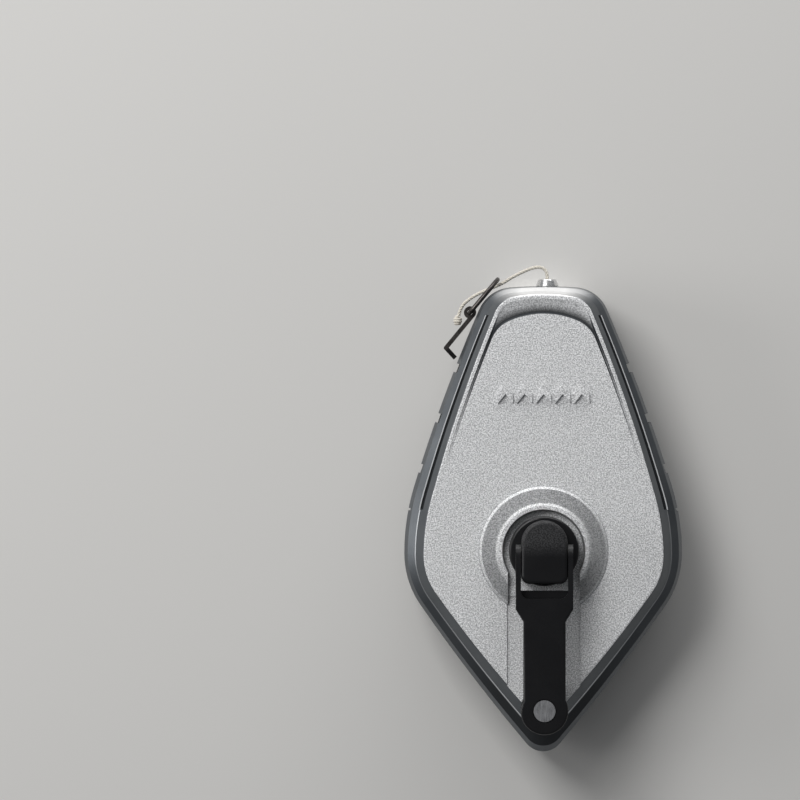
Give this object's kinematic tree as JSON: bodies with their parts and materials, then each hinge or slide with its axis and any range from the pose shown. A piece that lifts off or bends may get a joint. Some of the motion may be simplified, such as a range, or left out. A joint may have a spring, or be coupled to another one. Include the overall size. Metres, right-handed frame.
{
  "type": "chalk line reel",
  "caption": "Hand-wound chalk line reel with a teardrop metal case, flip-over crank, sliding chalk door, end hook and anchor ring.",
  "frame": {"origin": "where the spool's axis meets the flat rear face, which the reel lies on", "axes": "+Z out of the rear face toward the crank, +Y toward the nose where the line leaves, +X to the right seen from the crank side"},
  "size_m": [0.0774, 0.1356, 0.0465],
  "materials": {
    "case_metal": "satin, sand-textured face",
    "bright_metal": "polished",
    "door_metal": "satin",
    "steel": "satin",
    "dark_steel": "satin",
    "brass": "satin",
    "seal_rubber": "matt",
    "felt": "fuzzy",
    "cord": "braided",
    "spool_plastic": "matt",
    "black_plastic": "matt"
  },
  "bodies": {
    "case": {"front_case": "case_metal", "rear_case": "case_metal", "case_screws": "steel", "case_seal": "seal_rubber", "nozzle_ferrule": "bright_metal", "felt_wiper": "felt", "wiper_clip": "steel", "front_bushing": "brass", "rear_bushing": "brass", "shaft_seal": "felt", "door_seal": "seal_rubber", "line_lead": "cord"},
    "reel": {"spool_drum": "spool_plastic", "spool_flange": "spool_plastic", "line_winding": "cord", "spool_screw": "steel", "spool_washer": "steel", "crank_hub": "black_plastic", "hub_pin": "dark_steel"},
    "arm": {"crank_arm": "black_plastic", "knob_rivet": "steel"},
    "knob": {"crank_knob": "black_plastic"},
    "door": {"chalk_door": "door_metal"},
    "line": {"line_throat": "cord"},
    "hook": {"line_span": "cord", "line_knot": "cord", "end_hook": "dark_steel"},
    "ring": {"anchor_ring": "dark_steel"}
  },
  "joints": [
    {"name": "line_pull", "type": "slide", "parent": "case", "child": "line", "axis": [0, 1, 0], "range_m": [0, 0.25]},
    {"name": "reel_spin", "type": "hinge", "parent": "case", "child": "reel", "pos_m": [0, 0, 0.0155], "axis": [0, 0, 1], "continuous": true},
    {"name": "hook_swing", "type": "hinge", "parent": "line", "child": "hook", "pos_m": [0.00125, 0.076, 0.0155], "axis": [0, 0, -1], "range_deg": [0, 115]},
    {"name": "ring_swing", "type": "hinge", "parent": "hook", "child": "ring", "pos_m": [-0.02033, 0.06636, 0.0155], "axis": [0, 0, 1], "range_deg": [0, 100]},
    {"name": "crank_fold", "type": "hinge", "parent": "reel", "child": "arm", "pos_m": [0, -0.0005, 0.0435], "axis": [-1, 0, 0], "range_deg": [0, 180]},
    {"name": "knob_spin", "type": "hinge", "parent": "arm", "child": "knob", "pos_m": [0, -0.044, 0.0365], "axis": [0, 0, 1], "continuous": true},
    {"name": "door_slide", "type": "slide", "parent": "case", "child": "door", "axis": [0.3453, -0.9385, 0], "range_m": [0, 0.025]}
  ],
  "couplings": [
    {"joint": "reel_spin", "follows": "line_pull", "rad_per_m": 39.841},
    {"joint": "hook_swing", "follows": "line_pull", "rad_per_m": 8.0285}
  ]
}
